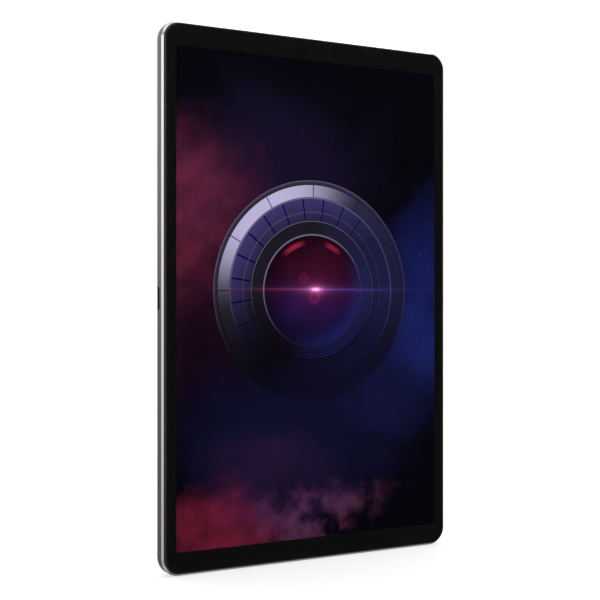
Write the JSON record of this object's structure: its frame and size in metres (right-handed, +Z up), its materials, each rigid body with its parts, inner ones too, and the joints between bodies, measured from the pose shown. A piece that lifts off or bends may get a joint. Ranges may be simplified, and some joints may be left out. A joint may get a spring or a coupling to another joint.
{
  "type": "tablet computer",
  "caption": "Slim portrait tablet computer with a glass front, lit screen, metal rear cover, side keys, card tray, charging ports and rear cameras",
  "frame": {"origin": "on the ground under the middle of the body, which stands upright on its lower short edge", "axes": "+X to the right across the screen seen from the front, +Y from the glass to the back, +Z up along the long side"},
  "size_m": [0.1298, 0.0088, 0.2085],
  "materials": {
    "body_metal": "anodised satin",
    "island_metal": "anodised satin with bright rim",
    "key_metal": "anodised satin",
    "window_plastic": "painted to match the metal",
    "front_glass": "polished",
    "clear_adhesive": "clear",
    "lit_panel": "lit screen",
    "black_print": "black print",
    "black_plastic": "moulded",
    "black_foam": "closed-cell foam",
    "acrylic": "clear moulded",
    "steel": "stamped",
    "frame_metal": "bead-blasted",
    "screw_steel": "black oxide",
    "board": "solder mask",
    "can_steel": "tin plated",
    "chip_black": "moulded",
    "pad_rubber": "soft pad",
    "copper": "bare copper",
    "connector_plastic": "moulded",
    "flex_film": "polyimide film",
    "battery_pouch": "foil pouch",
    "tape": "adhesive strip",
    "port_steel": "nickel plated",
    "port_plastic": "moulded",
    "switch_metal": "plated",
    "gasket_rubber": "moulded",
    "lens_glass": "coated",
    "diffuser": "ribbed",
    "led_yellow": "phosphor",
    "lens_barrel": "moulded",
    "driver_metal": "stamped",
    "mesh_black": "woven",
    "tungsten": "sintered"
  },
  "bodies": {
    "device": {"antenna_carrier": "black_plastic", "antenna_window": "window_plastic", "backlight_pan": "steel", "battery_cells": "battery_pouch", "battery_guard": "board", "battery_tapes": "tape", "board_connectors": "connector_plastic", "board_flexes": "flex_film", "board_screws": "screw_steel", "border_film": "black_print", "bottom_port_shell": "port_steel", "bottom_port_tongue": "port_plastic", "bottom_speaker_box": "black_plastic", "camera_boards": "board", "camera_island": "island_metal", "camera_windows": "lens_glass", "card_socket": "port_steel", "chips": "chip_black", "cover_glass": "front_glass", "display_carrier": "black_plastic", "display_flex": "flex_film", "display_gasket": "black_foam", "display_panel": "lit_panel", "flash_diffuser": "diffuser", "flash_led": "led_yellow", "frame_screws": "screw_steel", "front_camera": "lens_barrel", "front_camera_lens": "lens_glass", "key_bracket": "steel", "key_flex": "flex_film", "key_switches": "switch_metal", "light_guide": "acrylic", "light_pipe": "acrylic", "light_sensor": "chip_black", "macro_camera": "lens_barrel", "main_board": "board", "main_camera_housing": "black_plastic", "microphones": "can_steel", "motor_case": "steel", "motor_cover": "steel", "optical_adhesive": "clear_adhesive", "panel_foam": "black_foam", "rear_cover": "body_metal", "shield_cans": "can_steel", "side_port_shell": "port_steel", "side_port_tongue": "port_plastic", "speaker_drivers": "driver_metal", "speaker_gaskets": "black_foam", "speaker_meshes": "mesh_black", "sub_board": "board", "support_frame": "frame_metal", "thermal_pad": "pad_rubber", "top_speaker_box": "black_plastic", "vapour_plate": "copper"},
    "power_key": {"power_key": "key_metal"},
    "volume_key": {"volume_key": "key_metal"},
    "card_tray": {"card_tray": "key_metal", "tray_gasket": "gasket_rubber"},
    "focus_barrel": {"focus_barrel": "lens_barrel"},
    "motor_mass": {"motor_mass": "tungsten"}
  },
  "joints": [
    {"name": "power_press", "type": "slide", "parent": "device", "child": "power_key", "axis": [-1, 0, 0], "range_m": [0, 0.0003], "stiffness_N_per_m": 2000, "springref_m": -0.0003},
    {"name": "volume_rock", "type": "hinge", "parent": "device", "child": "volume_key", "pos_m": [0.06294, 0.00045, 0.18024], "axis": [0, 1, 0], "range_deg": [-1.2, 1.2], "stiffness_Nm_per_rad": 0.3},
    {"name": "tray_slide", "type": "slide", "parent": "device", "child": "card_tray", "axis": [1, 0, 0], "range_m": [0, 0.016]},
    {"name": "focus_slide", "type": "slide", "parent": "device", "child": "focus_barrel", "axis": [0, 1, 0], "range_m": [0, 0.0003], "stiffness_N_per_m": 150},
    {"name": "motor_slide", "type": "slide", "parent": "device", "child": "motor_mass", "axis": [0, 0, 1], "range_m": [-0.0005, 0.0005], "stiffness_N_per_m": 1500}
  ]
}
